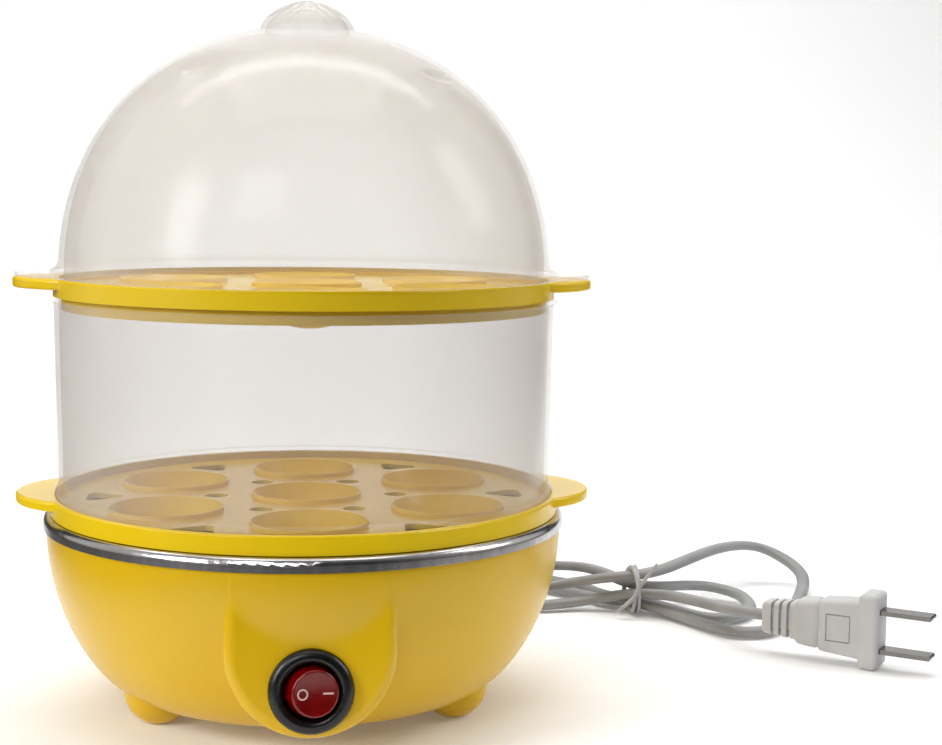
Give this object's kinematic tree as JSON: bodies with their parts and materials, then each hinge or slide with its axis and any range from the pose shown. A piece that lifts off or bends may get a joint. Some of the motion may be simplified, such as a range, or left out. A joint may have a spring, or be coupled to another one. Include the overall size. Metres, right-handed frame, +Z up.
{
  "type": "egg cooker",
  "caption": "Two-tier round electric egg cooker: ball-footed base with rocker switch, steel heating dish, egg trays with ears, clear housing, domed lid and tied cord with plug.",
  "frame": {"origin": "on the bowl's axis, at the level of the three feet's resting flats", "axes": "+Z up along the bowl's axis; -Y to the front, where the rocker switch is; the ears of the trays point to +X and -X"},
  "size_m": [0.2836, 0.2299, 0.2051],
  "materials": {
    "yellow_shell": "glossy moulded polypropylene, saturated egg-yolk yellow",
    "tray_yellow": "glossy moulded polypropylene, a shade paler than the base",
    "milky_clear": "translucent milky polypropylene, satin",
    "cover_yellow": "moulded plastic, fine satin",
    "stainless": "stainless steel sheet, polished with circular brushing",
    "steel_dark": "zinc-plated steel",
    "spreader_alu": "pressed aluminium plate",
    "element_sheath": "annealed heater sheath, dull grey",
    "black_nylon": "black nylon, satin",
    "red_clear": "translucent red polycarbonate",
    "white_mark": "white moulded marks",
    "lamp_glass": "small glass lamp",
    "brass": "stamped brass",
    "nickel": "nickel-plated brass",
    "ceramic_white": "white steatite ceramic",
    "sleeve_white": "woven glass-fibre sleeve",
    "wire_brown": "brown wire insulation",
    "wire_blue": "blue wire insulation",
    "wire_white": "white wire insulation",
    "cord_pvc": "light grey flexible PVC",
    "tie_white": "white plastic-coated wire tie"
  },
  "bodies": {
    "base": {"base_shell": "yellow_shell", "bottom_cover": "cover_yellow", "cover_screws": "steel_dark", "heating_dish": "stainless", "dish_brackets": "steel_dark", "dish_screws": "steel_dark", "heat_spreader": "spreader_alu", "heating_element": "element_sheath", "element_pins": "nickel", "thermostat": "ceramic_white", "thermostat_tabs": "brass", "thermostat_clip": "steel_dark", "thermal_fuse": "nickel", "fuse_sleeve": "sleeve_white", "live_wire": "wire_brown", "neutral_wire": "wire_blue", "switched_wire": "wire_white", "lamp_wire": "wire_blue", "switch_housing": "black_nylon", "switch_terminals": "brass", "neon_lamp": "lamp_glass", "cord_bushing": "cord_pvc", "strain_relief": "cord_pvc", "power_cord_lead": "cord_pvc", "power_cord_hank": "cord_pvc", "power_cord_tail": "cord_pvc", "cord_tie": "tie_white", "plug_body": "cord_pvc", "plug_blades": "nickel"},
    "lower_tier": {"lower_tray": "tray_yellow"},
    "middle_tier": {"middle_housing": "milky_clear"},
    "upper_tier": {"upper_tray": "tray_yellow"},
    "top_cover": {"lid": "milky_clear"},
    "rocker_switch": {"rocker": "red_clear", "rocker_marks": "white_mark", "plunger": "white_mark", "plunger_spring": "steel_dark"},
    "see_saw": {"contact_bridge": "brass"}
  },
  "joints": [
    {"name": "lower_tray_lift", "type": "slide", "parent": "base", "child": "lower_tier", "axis": [0, 0, 1], "range_m": [0, 0.05]},
    {"name": "housing_lift", "type": "slide", "parent": "lower_tier", "child": "middle_tier", "axis": [0, 0, 1], "range_m": [0, 0.07]},
    {"name": "upper_tray_lift", "type": "slide", "parent": "middle_tier", "child": "upper_tier", "axis": [0, 0, 1], "range_m": [0, 0.05]},
    {"name": "lid_lift", "type": "slide", "parent": "upper_tier", "child": "top_cover", "axis": [0, 0, 1], "range_m": [0, 0.09]},
    {"name": "rocker_hinge", "type": "hinge", "parent": "base", "child": "rocker_switch", "pos_m": [0, -0.07181, 0.02218], "axis": [0, 0.0872, 0.9962], "range_deg": [-20, 0]},
    {"name": "bridge_hinge", "type": "hinge", "parent": "base", "child": "see_saw", "pos_m": [0, -0.06304, 0.02142], "axis": [0, 0.0872, 0.9962], "range_deg": [0, 10]}
  ],
  "couplings": [
    {"joint": "bridge_hinge", "follows": "rocker_hinge", "ratio": -0.5}
  ]
}
